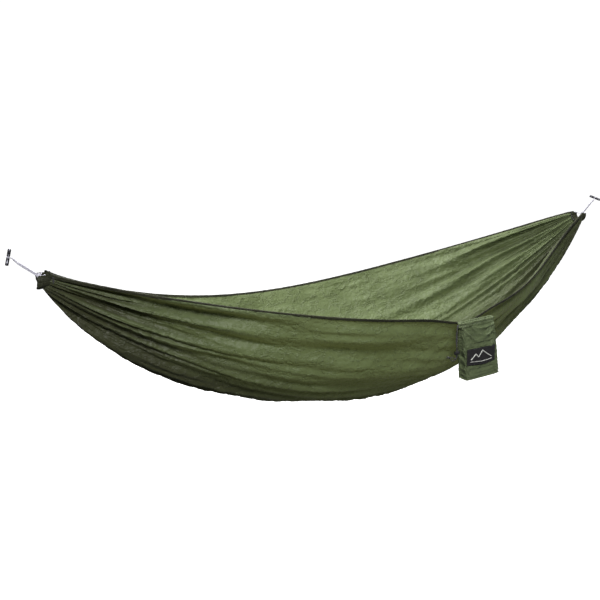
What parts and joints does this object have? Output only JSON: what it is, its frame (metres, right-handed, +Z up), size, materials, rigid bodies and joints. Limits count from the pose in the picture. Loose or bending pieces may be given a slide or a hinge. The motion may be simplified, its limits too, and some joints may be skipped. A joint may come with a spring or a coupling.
{
  "type": "camping hammock",
  "caption": "Gathered-end camping hammock with toggle bar suspension and a drawcord stuff sack sewn to the near hem.",
  "frame": {"origin": "middle of the left toggle bar, where the left strap holds the hammock", "axes": "+X from the left toggle to the right toggle, +Z up, +Y away from the side that carries the stuff sack"},
  "size_m": [2.4679, 0.8806, 0.6735],
  "materials": {
    "canopy_cloth": "satin woven nylon",
    "hem_cloth": "folded nylon hem",
    "black_thread": "dense stitching",
    "white_cord": "braided cord",
    "whipping_thread": "thread whipping",
    "toggle_metal": "satin turned bar",
    "label_cloth": "woven label",
    "black_cord": "braided cord",
    "lock_plastic": "moulded",
    "spring_steel": "drawn wire"
  },
  "bodies": {
    "anchors": {"left_splice": "white_cord", "right_splice": "white_cord", "left_splice_whipping": "whipping_thread", "right_splice_whipping": "whipping_thread"},
    "left_eye": {"left_toggle_eye": "white_cord"},
    "right_eye": {"right_toggle_eye": "white_cord"},
    "left_bar": {"left_toggle_bar": "toggle_metal"},
    "right_bar": {"right_toggle_bar": "toggle_metal"},
    "canopy": {"canopy_panel": "canopy_cloth", "near_hem_binding": "hem_cloth", "far_hem_binding": "hem_cloth", "left_end_sleeve": "hem_cloth", "right_end_sleeve": "hem_cloth", "left_sleeve_stitching": "black_thread", "right_sleeve_stitching": "black_thread", "left_sleeve_loop": "white_cord", "right_sleeve_loop": "white_cord", "left_hitch_knot": "white_cord", "right_hitch_knot": "white_cord", "left_suspension_cord": "white_cord", "right_suspension_cord": "white_cord", "sack_hem_tab": "hem_cloth"},
    "sack": {"sack_body": "canopy_cloth", "sack_bottom": "canopy_cloth", "sack_mouth_channel": "hem_cloth", "sack_label": "label_cloth", "mouth_cord": "black_cord", "drawcord": "black_cord", "drawcord_end_knot": "black_cord"},
    "cord_lock": {"cord_lock_body": "lock_plastic", "cord_lock_spring": "spring_steel"},
    "lock_button": {"cord_lock_button": "lock_plastic"}
  },
  "joints": [
    {"name": "canopy_swing", "type": "hinge", "parent": "anchors", "child": "canopy", "pos_m": [1.22, 0, -0.01741], "axis": [1, 0, 0], "range_deg": [-45, 45]},
    {"name": "left_toggle_fold", "type": "hinge", "parent": "anchors", "child": "left_eye", "pos_m": [0.01036, 0.00099, -0.00355], "axis": [-0.1581, 0.9688, -0.1907], "range_deg": [-50, 119]},
    {"name": "left_toggle_roll", "type": "hinge", "parent": "left_eye", "child": "left_bar", "pos_m": [0, 0, 0], "axis": [0.2952, 0.2306, 0.9272], "continuous": true},
    {"name": "right_toggle_fold", "type": "hinge", "parent": "anchors", "child": "right_eye", "pos_m": [2.43256, -0.00164, -0.00793], "axis": [-0.4913, -0.6382, 0.5927], "range_deg": [-103, 66]},
    {"name": "right_toggle_roll", "type": "hinge", "parent": "right_eye", "child": "right_bar", "pos_m": [2.44, 0, 0], "axis": [-0.5487, 0.7553, 0.3584], "continuous": true},
    {"name": "sack_swing", "type": "hinge", "parent": "canopy", "child": "sack", "pos_m": [1.37716, -0.408, -0.307], "axis": [-0.9998, 0, -0.0175], "range_deg": [-8, 150]},
    {"name": "cord_lock_slide", "type": "slide", "parent": "sack", "child": "cord_lock", "axis": [-0.0175, 0, 0.9998], "range_m": [0, 0.07]},
    {"name": "lock_button_press", "type": "slide", "parent": "cord_lock", "child": "lock_button", "axis": [0.9998, 0, 0.0175], "range_m": [0, 0.003], "stiffness_N_per_m": 200, "springref_m": -0.004, "deforming": ["cord_lock_spring"]}
  ]
}
